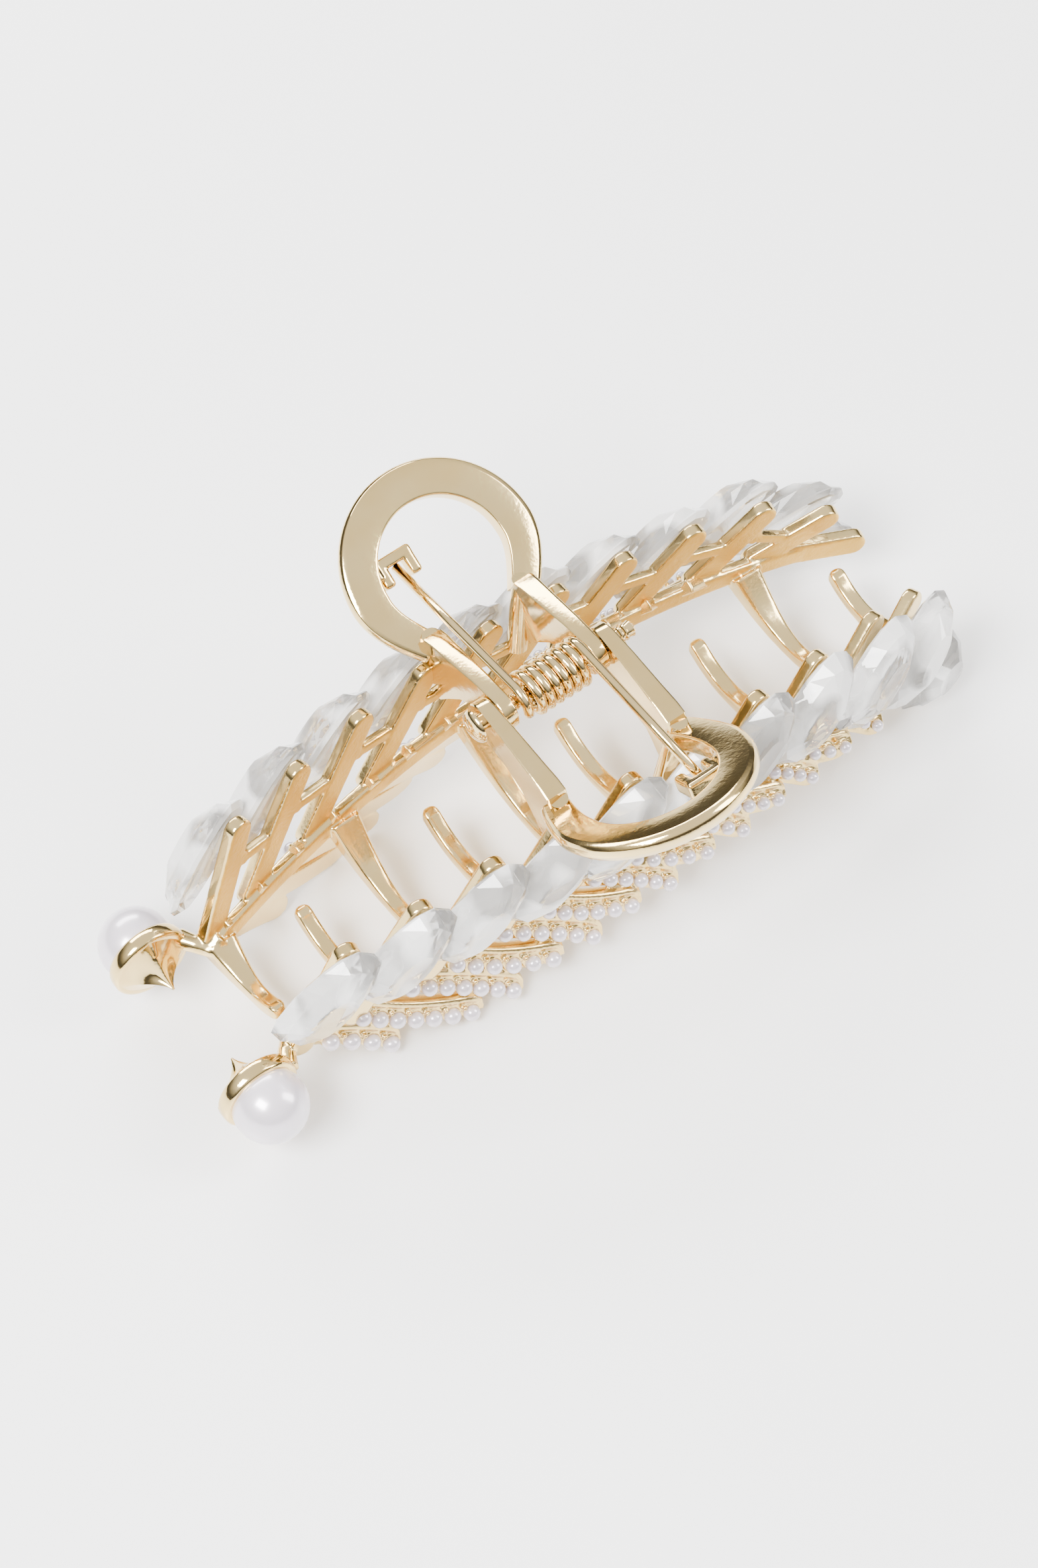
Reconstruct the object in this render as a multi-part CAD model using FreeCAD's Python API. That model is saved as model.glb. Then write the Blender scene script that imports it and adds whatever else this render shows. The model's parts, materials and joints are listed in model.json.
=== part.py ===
"""Two-jaw hair claw clip: two cast jaws with thumb loops, a hinge pin, a torsion spring, crystals and pearls.

Lengths are in millimetres. The model is built about the hinge pin: X runs along the pin, Z is up, and W is the
distance outwards from the middle plane. The far jaw has W along +Y; the near jaw is the same work mirrored to -Y.
At the end everything is shifted so that the middle of the underside of the bounding box is the origin.
"""
import FreeCAD
import Part
import math
import os

V = FreeCAD.Vector

# hinge pin
PIN_D = 1.85
PIN_HEAD_D = 3.7
PIN_HEAD_H = 0.9
PIN_HEAD_X = -8.75
PIN_END_X = 10.8
THREAD_PITCH = 0.55
THREAD_DEPTH = 0.16
THREAD_START_X = -4.7
PIN_CLEARANCE = 0.05

# torsion spring
WIRE_D = 1.05
KNUCKLE = 0.03
SPRING_D = 5.4
COIL_PITCH = 1.1
COIL_TURNS = 6.25
COIL_START_X = -2.6
LEG_GAP = 0.12
LEG_TO_HOOK = 0.25

# lug bars and their ears: near ears stand outside the far ears
FAR_LUG_X = 5.68
LUG_THICK = 1.6
EAR_GAP = 0.15
NEAR_LUG_X = FAR_LUG_X + LUG_THICK + EAR_GAP
LUG_END_THICK = 2.3
EAR_D = 4.4
LUG_TOP = 0.9
LUG_END_W = 11.4
LUG_END_BOTTOM = -3.2
WEB_THICK = 1.3
STRUT_SIZE = 2.2
STRUT_FOOT_Z = -10.2
STRUT_LEAN = 1.4

# thumb loop
LOOP_TILT = 31.0
LOOP_THICK = 2.3
LOOP_OUTER_R = 11.0
LOOP_BAND = 4.0
LOOP_RISE = 6.7
LOOP_EDGE = 0.8
LOOP_FOOT_SPREAD = 0.9

# spring hook on the loop
HOOK_X = 4.3
HOOK_BAR = 1.3
HOOK_DEPTH = 1.9
HOOK_SLOT = WIRE_D + 0.9
HOOK_REACH = 3.2
HOOK_B = 9.2

# spine: an arc in a tilted plane, highest and widest at SPINE_MID_X
SPINE_MID_X = 4.0
SPINE_MID_W = 11.4
SPINE_MID_Z = -16.3
SPINE_HALF = 40.0
SPINE_DROP_W = 3.9
SPINE_DROP_Z = 4.9
SPINE_THICK = 1.5
SPINE_HEIGHT = 2.4
SPINE_LEFT_X = -39.0
SPINE_RIGHT_X = 39.5

# crystal settings, called fingers
FINGERS = 11
FINGER_PITCH = 8.38
FINGER_FIRST_X = -31.3
FINGER_RUN = 9.1
FIRST_FINGER_RUN = 6.6
FINGER_WIDTH = 2.9
FINGER_THICK = 1.5
FINGER_FOOT = 0.8
RIGHT_FINGER_TIPS = ((42.8, 5.9, -14.1), (46.3, 5.3, -21.4))
LAST_FINGER_BASE_X = 35.5
TIP_W = 11.05
TIP_Z = -4.8
LINK_WIDTH = 1.3
LINK_THICK = 1.1
LINK_START_SHARE = 0.62
LINK_END_SHARE = 0.50

# crystals
CRYSTAL_LENGTH = 14.0
CRYSTAL_WIDTH = 6.8
CRYSTAL_HEIGHT = 1.9
CRYSTAL_SLOPE = 39.0
CRYSTAL_TILT = 25.0
CRYSTAL_LEVELS = ((0.90, 0.0), (1.0, 0.22), (0.82, 0.62), (0.42, 1.0))
CRYSTAL_CORNERS = 14
CRYSTAL_FULLNESS = 0.62
CRYSTAL_AHEAD = 1.9
CRYSTAL_BELOW = 0.2
CRYSTAL_SEAT_GAP = 0.04
CRYSTAL_LIFT = 0.0
END_CRYSTALS = {9: (14.0, 38.0, 0.2, 0.75, 1.9), 10: (14.0, 30.0, 0.2, 0.75, 1.9), 11: (11.0, -6.0, 2.4, 0.9, 0.0)}

# pearl leaves
LEAVES = 13
LEAF_PITCH = 5.1
LEAF_FIRST_X = -36.8
LEAF_RUN = 11.9
LEAF_OUT = 3.4
LEAF_FALL = 7.0
ODD_LEAF_FALL = 7.9
LEAF_SHRINK = 0.03
FIRST_LEAF_SHARE = 0.70
FIRST_ROW_START = 2.7
PEARL_START_LEFT = 0.9
PEARL_START_RIGHT = 4.4
LEAF_WIDTH = 2.9
LEAF_THICK = 1.1
LEAF_SAG = 0.75
LEAF_ARCH = 0.35
PEARL_D_LEFT = 1.85
PEARL_D_RIGHT = 1.3
PEARL_GAP_LEFT = 0.38
PEARL_GAP_RIGHT = 0.1
PEARL_SEAT = 0.6

# teeth
TEETH = 5
TOOTH_D = 2.0
TOOTH_ROOT_D = 3.5
TOOTH_PITCH = 17.4
TOOTH_TAPER_W = 5.5
FAR_TOOTH_X = -37.2
NEAR_TOOTH_X = FAR_TOOTH_X + TOOTH_PITCH / 2
TOOTH_REACH = 6.6
TOOTH_REACH_LOSS = 3.2
TOOTH_TIP_Z = -21.4
TOOTH_LOW_Z = -23.2

# end pearl and its cup
END_PEARL_D = 8.0
END_PEARL_AT = (-44.15, 11.9, -21.3)
CUP_D = 8.8
CUP_THICK = 1.8
CUP_SINK = 2.2
CUP_POINT_LENGTH = 3.8
CUP_POINT_WIDTH = 8.6
CUP_POINT_SECTIONS = ((1.0, -0.08), (0.70, 0.24), (0.40, 0.53), (0.175, 0.76), (0.035, 1.0))
NECK_D = 2.0
SEAT_CLEARANCE = 0.03


def spine_share(x):
    """How far x lies towards the spine's end, squared: 0 in the middle, 1 at SPINE_HALF."""
    return ((x - SPINE_MID_X) / SPINE_HALF) ** 2


def spine_point(x):
    share = spine_share(x)
    return V(x, SPINE_MID_W - SPINE_DROP_W * share, SPINE_MID_Z - SPINE_DROP_Z * share)


def outward_at(x):
    """Outward normal of the jaw's curved face at x."""
    slope = -2 * SPINE_DROP_W * (x - SPINE_MID_X) / SPINE_HALF ** 2
    return V(-slope, 1, 0).normalize()


def local_frame(origin, along, outward):
    """Placement with its x axis along, and its z axis as near outward as that allows."""
    x_axis = V(along).normalize()
    z_axis = (outward - x_axis * outward.dot(x_axis)).normalize()
    y_axis = z_axis.cross(x_axis)
    matrix = FreeCAD.Matrix(
        x_axis.x, y_axis.x, z_axis.x, origin.x,
        x_axis.y, y_axis.y, z_axis.y, origin.y,
        x_axis.z, y_axis.z, z_axis.z, origin.z,
        0, 0, 0, 1)
    return FreeCAD.Placement(matrix)


def placed(shape, placement):
    moved = shape.copy()
    moved.Placement = placement.multiply(moved.Placement)
    return moved


def polygon_prism(points, extrusion):
    wire = Part.makePolygon([V(*p) for p in points] + [V(*points[0])])
    return Part.Face(wire).extrude(V(*extrusion))


def ruled_solid(sections):
    """Solid between closed polygons that have the same number of corners."""
    wires = [Part.makePolygon([V(*p) for p in s] + [V(*s[0])]) for s in sections]
    return Part.makeLoft(wires, True, True)


def stadium(length, width, thick):
    """Bar along x with round ends whose centres are at 0 and length, standing on z = 0."""
    half = width / 2
    edges = [
        Part.LineSegment(V(0, -half, 0), V(length, -half, 0)).toShape(),
        Part.Arc(V(length, -half, 0), V(length + half, 0, 0), V(length, half, 0)).toShape(),
        Part.LineSegment(V(length, half, 0), V(0, half, 0)).toShape(),
        Part.Arc(V(0, half, 0), V(-half, 0, 0), V(0, -half, 0)).toShape()]
    return Part.Face(Part.Wire(edges)).extrude(V(0, 0, thick))


def rod(start, end, start_d, end_d):
    """Round bar or cone between two points."""
    along = end - start
    if abs(start_d - end_d) < 1e-6:
        return Part.makeCylinder(start_d / 2, along.Length, start, along)
    return Part.makeCone(start_d / 2, end_d / 2, along.Length, start, along)


# crystal settings --------------------------------------------------------------------------------------

def finger_tip(number):
    """Extreme tip of setting number 1 to FINGERS; the last two fan out towards the jaw's pointed end."""
    if number > FINGERS - len(RIGHT_FINGER_TIPS):
        return V(*RIGHT_FINGER_TIPS[number - FINGERS - 1])
    x = FINGER_FIRST_X + FINGER_PITCH * (number - 1)
    return V(x, TIP_W - 5.89 * (x / 50) ** 2, TIP_Z - 1.33 * (x / 50) - 7.4 * (x / 50) ** 2)


def finger_base(number):
    """Lower end of a setting, on the spine; the last one lies along the spine."""
    if number == FINGERS:
        return spine_point(LAST_FINGER_BASE_X)
    tip = finger_tip(number)
    run = FIRST_FINGER_RUN if number == 1 else FINGER_RUN
    return spine_point(tip.x - run)


def finger_frame(number):
    """Frame at a setting's lower end, x up the setting and z outward; its z = 0 is the inner face."""
    base = finger_base(number)
    tip = finger_tip(number)
    middle_x = (base.x + tip.x) / 2
    return local_frame(base, tip - base, outward_at(middle_x))


def finger_length(number):
    return (finger_tip(number) - finger_base(number)).Length


def make_finger(number):
    half = FINGER_WIDTH / 2
    bar = stadium(finger_length(number) - 2 * half + FINGER_FOOT, FINGER_WIDTH, FINGER_THICK)
    bar.translate(V(half - FINGER_FOOT, 0, 0))
    return placed(bar, finger_frame(number))


def along_finger(number, share):
    frame = finger_frame(number)
    return frame.multVec(V(finger_length(number) * share, 0, 0))


def make_link(number):
    """Cross link from a setting to the next one."""
    start = along_finger(number, LINK_START_SHARE)
    end = along_finger(number + 1, LINK_END_SHARE)
    frame = local_frame(start, end - start, outward_at((start.x + end.x) / 2))
    bar = Part.makeBox((end - start).Length, LINK_WIDTH, LINK_THICK, V(0, -LINK_WIDTH / 2, 0.1))
    return placed(bar, frame)


def crystal_layout(number):
    """Length, slope in degrees, drop below the setting's tip, lift off it and reach past it."""
    common = (CRYSTAL_LENGTH, CRYSTAL_SLOPE, CRYSTAL_BELOW, CRYSTAL_LIFT, CRYSTAL_AHEAD)
    return END_CRYSTALS.get(number, common)


def crystal_frame(number):
    """Frame of a crystal: x along it, z outward, origin at the middle of its upper-left back edge."""
    tip = finger_tip(number)
    length, degrees, below, lift, ahead = crystal_layout(number)
    slope = math.radians(degrees)
    middle = V(tip.x + ahead, tip.y, tip.z - below)
    middle = middle - V(math.cos(slope), 0, math.sin(slope)) * (length / 2)
    finger = finger_frame(number)
    plane_point = finger.Base
    face_normal = finger.Rotation.multVec(V(0, 0, 1))
    offset = (middle - plane_point).dot(face_normal) / face_normal.y
    middle = V(middle.x, middle.y - offset, middle.z)
    along = V(math.cos(slope), 0, math.sin(slope))
    middle = middle + face_normal * (FINGER_THICK + CRYSTAL_SEAT_GAP + lift)
    return local_frame(middle, along - face_normal * along.dot(face_normal), face_normal)


def make_crystal(number):
    """Faceted navette, flat at the back, leaning outwards over its neighbour like a roof tile."""
    half_length = crystal_layout(number)[0] / 2
    outline = []
    for corner in range(CRYSTAL_CORNERS):
        angle = 2 * math.pi * corner / CRYSTAL_CORNERS
        sine = math.sin(angle) if 2 * corner % CRYSTAL_CORNERS else 0.0
        across = math.copysign(abs(sine) ** CRYSTAL_FULLNESS, sine) * CRYSTAL_WIDTH / 2
        outline.append((half_length * math.cos(angle), across))
    sections = []
    for scale, level in CRYSTAL_LEVELS:
        sections.append([(x * scale, y * scale, level * CRYSTAL_HEIGHT) for x, y in outline])
    crystal = ruled_solid(sections)
    crystal.translate(V(0, CRYSTAL_WIDTH / 2, 0))
    tilt = FreeCAD.Rotation(V(1, 0, 0), CRYSTAL_TILT)
    seat = FreeCAD.Placement(V(0, -CRYSTAL_WIDTH / 2, 0), tilt)
    return placed(crystal, crystal_frame(number).multiply(seat))


# pearl leaves ------------------------------------------------------------------------------------------

def leaf_start(number):
    """Centre line of a leaf at its upper end, on the outer face of the spine."""
    x = LEAF_FIRST_X + LEAF_PITCH * (number - 1)
    point = spine_point(x)
    return V(x, point.y - 0.5, point.z)


def leaf_end(number):
    start = leaf_start(number)
    reach = FIRST_LEAF_SHARE if number == 1 else 1 - LEAF_SHRINK * (number - 2)
    fall = LEAF_FALL if number % 2 == 0 else ODD_LEAF_FALL
    return start + V(LEAF_RUN * reach, LEAF_OUT * reach, -fall * reach)


def leaf_bow(number):
    """Sideways bow at a leaf's middle: even leaves sag and odd leaves arch upwards."""
    return LEAF_SAG if number % 2 == 0 else -LEAF_ARCH


def leaf_frame(number):
    start = leaf_start(number)
    along = leaf_end(number) - start
    tangent = spine_point(start.x + 1) - spine_point(start.x - 1)
    return local_frame(start, along, tangent.cross(along))


def leaf_length(number):
    return (leaf_end(number) - leaf_start(number)).Length


def make_leaf(number):
    """Bowed plate with a round end."""
    length = leaf_length(number)
    bow = leaf_bow(number)
    half = LEAF_WIDTH / 2
    edges = [
        Part.Arc(V(0, -half, 0), V(length / 2, bow - half, 0), V(length, -half, 0)).toShape(),
        Part.Arc(V(length, -half, 0), V(length + half, 0, 0), V(length, half, 0)).toShape(),
        Part.Arc(V(length, half, 0), V(length / 2, bow + half, 0), V(0, half, 0)).toShape(),
        Part.Arc(V(0, half, 0), V(-half, 0, 0), V(0, -half, 0)).toShape()]
    return placed(Part.Face(Part.Wire(edges)).extrude(V(0, 0, LEAF_THICK)), leaf_frame(number))


def graded(left, right, number):
    """Value for one leaf of a size that changes evenly from the first leaf to the last."""
    return left + (right - left) * (number - 1) / (LEAVES - 1)


def pearl_radius(number):
    return graded(PEARL_D_LEFT, PEARL_D_RIGHT, number) / 2


def pearl_centres(number):
    """Centres of a row's pearls in its leaf's frame, following the leaf's bow."""
    length = leaf_length(number)
    first = FIRST_ROW_START if number == 1 else graded(PEARL_START_LEFT, PEARL_START_RIGHT, number)
    pitch = 2 * pearl_radius(number) + graded(PEARL_GAP_LEFT, PEARL_GAP_RIGHT, number)
    count = max(int((length - first) / pitch) + 1, 2)
    centres = []
    for step in range(count):
        share = (first + (length - first) * step / (count - 1)) / length
        across = leaf_bow(number) * 4 * share * (1 - share)
        centres.append(V(length * share, across, LEAF_THICK + pearl_radius(number) * PEARL_SEAT))
    return centres


def make_pearls(number, clearance=0.0):
    """A row's flat-backed pearls, or with a clearance the room that they need above their leaf."""
    radius = pearl_radius(number) + clearance
    flat_angle = -math.degrees(math.asin(pearl_radius(number) * PEARL_SEAT / radius))
    pearls = [Part.makeSphere(radius, c, V(0, 0, 1), flat_angle, 90, 360) for c in pearl_centres(number)]
    return [placed(pearl, leaf_frame(number)) for pearl in pearls]


# jaw ---------------------------------------------------------------------------------------------------

def make_spine():
    """Bar of rectangular section bent along the jaw's arc."""
    drop = V(0, -SPINE_DROP_W, -SPINE_DROP_Z)
    sag = drop.Length
    down = V(drop).normalize()
    radius = (SPINE_HALF ** 2 + sag ** 2) / (2 * sag)
    centre = spine_point(SPINE_MID_X) + down * radius
    normal = V(1, 0, 0).cross(down).normalize()
    apex = spine_point(SPINE_MID_X)
    half_h = SPINE_HEIGHT / 2
    half_t = SPINE_THICK / 2
    corners = []
    for up_side, out_side in ((-1, -1), (1, -1), (1, 1), (-1, 1)):
        corners.append(apex - down * (up_side * half_h) + normal * (out_side * half_t))
    face = Part.Face(Part.makePolygon(corners + [corners[0]]))
    start_angle = math.degrees(math.asin((SPINE_MID_X - SPINE_LEFT_X) / radius))
    end_angle = math.degrees(math.asin((SPINE_RIGHT_X - SPINE_MID_X) / radius))
    turn = FreeCAD.Rotation(normal, 1.0)
    side = 1 if turn.multVec(apex - centre).x > (apex - centre).x else -1
    face.rotate(centre, normal, -side * start_angle)
    return face.revolve(centre, normal, side * (start_angle + end_angle))


def make_tooth(x):
    """Tooth: a thick root on the spine that tapers to a round bar curving in and up to its tip."""
    spine = spine_point(x)
    root = V(x, spine.y - 0.3, spine.z - 0.4)
    tip_w = -TOOTH_REACH + TOOTH_REACH_LOSS * spine_share(x)
    low = V(x, (tip_w + root.y) / 2 - 0.5, TOOTH_LOW_Z)
    tip = V(x, tip_w, TOOTH_TIP_Z)
    arc = Part.Arc(root, low, tip)
    first = arc.FirstParameter
    last = arc.LastParameter
    change = first + (last - first) * (root.y - TOOTH_TAPER_W) / (root.y - tip.y)
    joint = arc.value(change)
    middle = arc.value((change + last) / 2)
    path = Part.Wire([Part.Arc(joint, middle, tip).toShape()])
    section = Part.Wire([Part.makeCircle(TOOTH_D / 2, joint, V(arc.tangent(change)[0]))])
    bar = path.makePipeShell([section], True, False)
    root_cone = rod(root, joint, TOOTH_ROOT_D, TOOTH_D)
    return [bar, root_cone, Part.makeSphere(TOOTH_D / 2, tip), Part.makeSphere(TOOTH_D / 2, joint),
            Part.makeSphere(TOOTH_ROOT_D / 2, root)]


def make_lug(x, toward):
    """Lug bar from the ear on the pin to the loop, with its web and strut down to the jaw's top."""
    half = LUG_THICK / 2
    end_half = LUG_END_THICK / 2
    ear = Part.makeCylinder(EAR_D / 2, LUG_THICK, V(x - half, 0, 0), V(1, 0, 0))
    start_bottom = -EAR_D / 2 + 0.2
    bar = ruled_solid([
        [(x - half, 0.4, start_bottom), (x + half, 0.4, start_bottom),
         (x + half, 0.4, EAR_D / 2 - 0.1), (x - half, 0.4, EAR_D / 2 - 0.1)],
        [(x - end_half, LUG_END_W, LUG_END_BOTTOM), (x + end_half, LUG_END_W, LUG_END_BOTTOM),
         (x + end_half, LUG_END_W, LUG_TOP), (x - end_half, LUG_END_W, LUG_TOP)]])
    web = polygon_prism([
        (x - WEB_THICK / 2, 1.6, -1.2), (x - WEB_THICK / 2, 10.8, 0),
        (x - WEB_THICK / 2, 10.8, STRUT_FOOT_Z + 1.6), (x - WEB_THICK / 2, 9.6, STRUT_FOOT_Z + 1.6)],
        (WEB_THICK, 0, 0))
    side = STRUT_SIZE / 2
    foot_x = x - toward * STRUT_LEAN
    foot_w = SPINE_MID_W - 0.2
    strut = ruled_solid([
        [(x - side, LUG_END_W - 0.6, LUG_TOP), (x + side, LUG_END_W - 0.6, LUG_TOP),
         (x + side, LUG_END_W + 1.4, LUG_TOP), (x - side, LUG_END_W + 1.4, LUG_TOP)],
        [(foot_x - side, foot_w - 1, STRUT_FOOT_Z), (foot_x + side, foot_w - 1, STRUT_FOOT_Z),
         (foot_x + side, foot_w + 0.9, STRUT_FOOT_Z), (foot_x - side, foot_w + 0.9, STRUT_FOOT_Z)]])
    return [ear, bar, web, strut]


def loop_frame():
    """Frame of the thumb loop: x across, y up the loop, z to its upper face, origin at the bar ends."""
    tilt = math.radians(LOOP_TILT)
    up_loop = V(0, math.cos(tilt), math.sin(tilt))
    x_axis = V(-1, 0, 0)
    z_axis = x_axis.cross(up_loop)
    matrix = FreeCAD.Matrix(
        x_axis.x, up_loop.x, z_axis.x, 0,
        x_axis.y, up_loop.y, z_axis.y, LUG_END_W - 0.3,
        x_axis.z, up_loop.z, z_axis.z, LUG_TOP - LOOP_THICK,
        0, 0, 0, 1)
    return FreeCAD.Placement(matrix)


def loop_face(radius, foot):
    """D outline: a half circle above LOOP_RISE and two curved sides in to the feet."""
    side_y = LOOP_RISE * 0.5
    side_x = radius - (radius - foot) * 0.22
    edges = [
        Part.Arc(V(radius, LOOP_RISE, 0), V(0, LOOP_RISE + radius, 0), V(-radius, LOOP_RISE, 0)).toShape(),
        Part.Arc(V(-radius, LOOP_RISE, 0), V(-side_x, side_y, 0), V(-foot, 0, 0)).toShape(),
        Part.LineSegment(V(-foot, 0, 0), V(foot, 0, 0)).toShape(),
        Part.Arc(V(foot, 0, 0), V(side_x, side_y, 0), V(radius, LOOP_RISE, 0)).toShape()]
    return Part.Face(Part.Wire(edges))


def make_loop(lug_x):
    outer = loop_face(LOOP_OUTER_R, lug_x + LUG_END_THICK / 2 + LOOP_FOOT_SPREAD).extrude(V(0, 0, LOOP_THICK))
    inner = loop_face(LOOP_OUTER_R - LOOP_BAND, lug_x - LUG_END_THICK / 2)
    inner_cut = inner.extrude(V(0, 0, LOOP_THICK + 2))
    inner_cut.translate(V(0, 0, -1))
    rim = [e for e in outer.Edges if e.BoundBox.ZLength < 0.01 and e.BoundBox.YMax > 1]
    outer = outer.makeChamfer(LOOP_EDGE, rim)
    ring = outer.cut(inner_cut)
    below = Part.makeBox(60, 4, 12, V(-30, -4.0, -6))
    return placed(ring.cut(below), loop_frame())


def make_hook(side):
    """Small staple on the loop's inner edge; its slot holds the end of a spring leg."""
    centre = -side * HOOK_X
    half = HOOK_SLOT / 2 + HOOK_BAR
    z_low = LOOP_THICK / 2 - HOOK_DEPTH / 2 + 0.5
    bridge = Part.makeBox(2 * half, HOOK_BAR, HOOK_DEPTH, V(centre - half, HOOK_B, z_low))
    parts = [bridge]
    for end in (centre - half, centre + half - HOOK_BAR):
        corner = V(end, HOOK_B - HOOK_REACH + HOOK_BAR, z_low)
        parts.append(Part.makeBox(HOOK_BAR, HOOK_REACH, HOOK_DEPTH, corner))
    outward = 1 if centre > 0 else -1
    inner_edge = LOOP_OUTER_R - LOOP_BAND
    stalk_start = centre + outward * (half - 0.4)
    stalk_end = outward * (inner_edge + 0.5)
    low = min(stalk_start, stalk_end)
    parts.append(Part.makeBox(abs(stalk_end - stalk_start), HOOK_BAR + 0.6, HOOK_DEPTH - 0.5,
                              V(low, HOOK_B - 0.6, z_low)))
    return [placed(p, loop_frame()) for p in parts]


def hook_point(side):
    """Where the spring leg's end lies: in the slot, just short of the bridge."""
    middle = LOOP_THICK / 2 + 0.5
    return loop_frame().multVec(V(-side * HOOK_X, HOOK_B - LEG_TO_HOOK, middle))


def make_cup():
    """Ring and pointed back of the end-pearl cup, with the neck that joins it to the spine."""
    x, w, z = END_PEARL_AT
    ring_w = w - CUP_SINK
    ring = Part.makeCylinder(CUP_D / 2, CUP_THICK, V(x, ring_w - CUP_THICK / 2, z), V(0, 1, 0))
    back_w = ring_w - CUP_THICK / 2
    sections = []
    for width_share, depth_share in CUP_POINT_SECTIONS:
        half = CUP_POINT_WIDTH / 2 * width_share
        at = back_w - CUP_POINT_LENGTH * depth_share
        sections.append([(x - half, at, z), (x, at, z - half), (x + half, at, z), (x, at, z + half)])
    point = ruled_solid(sections)
    neck_start = V(x + CUP_D / 2 - 0.7, ring_w, z + 0.3)
    neck_end = spine_point(SPINE_LEFT_X + 0.6) + V(0, 0, 0.2)
    neck = rod(neck_start, neck_end, NECK_D, NECK_D)
    ball = Part.makeSphere(NECK_D / 2 + 0.15, neck_end)
    return [ring, point, neck, ball]


def make_casting(side):
    """One jaw casting with W along +Y. side is +1 for the far jaw and -1 for the near jaw."""
    lug_x = FAR_LUG_X if side > 0 else NEAR_LUG_X
    first_tooth = FAR_TOOTH_X if side > 0 else NEAR_TOOTH_X
    pieces = [make_spine()]
    pieces += [make_finger(n) for n in range(1, FINGERS + 1)]
    pieces += [make_link(n) for n in range(1, FINGERS - 1)]
    pieces += [make_leaf(n) for n in range(1, LEAVES + 1)]
    for number in range(TEETH):
        pieces += make_tooth(first_tooth + TOOTH_PITCH * number)
    for toward in (-1, 1):
        pieces += make_lug(toward * lug_x, toward)
    pieces.append(make_loop(lug_x))
    pieces += make_hook(-side)
    pieces += make_cup()
    body = pieces[0].multiFuse(pieces[1:])
    bore = Part.makeCylinder(PIN_D / 2 + PIN_CLEARANCE, 40, V(-20, 0, 0), V(1, 0, 0))
    seat = Part.makeSphere(END_PEARL_D / 2 + SEAT_CLEARANCE, V(*END_PEARL_AT))
    body = body.cut(bore).cut(seat)
    for number in range(1, LEAVES + 1):
        body = body.cut(make_pearls(number, SEAT_CLEARANCE))
    solids = sorted(body.Solids, key=lambda s: -s.Volume)
    print("casting", "far" if side > 0 else "near", "solids", len(solids), "valid", body.isValid(),
          "volume", round(body.Volume, 1))
    return solids[0] if len(solids) == 1 else body


# pin and spring ----------------------------------------------------------------------------------------

def make_pin():
    """Round pin with a domed head at -X and thread grooves over the rest."""
    radius = PIN_D / 2
    profile = [(PIN_HEAD_X, 0), (PIN_HEAD_X, radius)]
    x = THREAD_START_X
    while x + THREAD_PITCH < PIN_END_X - 0.2:
        profile += [(x, radius), (x + THREAD_PITCH / 2, radius - THREAD_DEPTH)]
        x += THREAD_PITCH
    profile += [(x, radius), (PIN_END_X - 0.2, radius), (PIN_END_X, radius - 0.25), (PIN_END_X, 0)]
    wire = Part.makePolygon([V(px, 0, pr) for px, pr in profile + [profile[0]]])
    shank = Part.Face(wire).revolve(V(0, 0, 0), V(1, 0, 0), 360)
    head_r = PIN_HEAD_D / 2
    dome_r = (head_r ** 2 + PIN_HEAD_H ** 2) / (2 * PIN_HEAD_H)
    dome = Part.makeSphere(dome_r, V(PIN_HEAD_X - PIN_HEAD_H + dome_r, 0, 0))
    keep = Part.makeCylinder(head_r + 1, PIN_HEAD_H, V(PIN_HEAD_X - PIN_HEAD_H, 0, 0), V(1, 0, 0))
    return shank.fuse(dome.common(keep))


def leg_route(side, x):
    """Start and end of a straight spring leg: tangent to the coil's top, ending at its hook."""
    mean_r = (SPRING_D - WIRE_D) / 2
    hook = hook_point(side)
    reach = math.hypot(hook.y, hook.z)
    hook_angle = math.atan2(hook.z, hook.y)
    touch_angle = hook_angle + math.acos(mean_r / reach)
    start = V(x, mean_r * math.cos(touch_angle), mean_r * math.sin(touch_angle))
    return start, hook, touch_angle


def make_far_leg():
    """Spring leg of the far jaw with its first quarter turn round the pin."""
    x = COIL_START_X - WIRE_D - LEG_GAP
    start, hook, angle = leg_route(-1, x)
    mean_r = (SPRING_D - WIRE_D) / 2
    turn = V(x, mean_r * math.cos(angle + math.pi / 4), mean_r * math.sin(angle + math.pi / 4))
    end = V(x, mean_r * math.cos(angle + math.pi / 2), mean_r * math.sin(angle + math.pi / 2))
    path = Part.Wire([Part.Arc(end, turn, start).toShape()])
    tangent = V(0, math.sin(angle + math.pi / 2), -math.cos(angle + math.pi / 2))
    bend = path.makePipeShell([Part.Wire([Part.makeCircle(WIRE_D / 2, end, tangent)])], True, False)
    leg = rod(start, hook, WIRE_D, WIRE_D)
    return leg.fuse([bend, Part.makeSphere(WIRE_D / 2 + KNUCKLE, start)])


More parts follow.
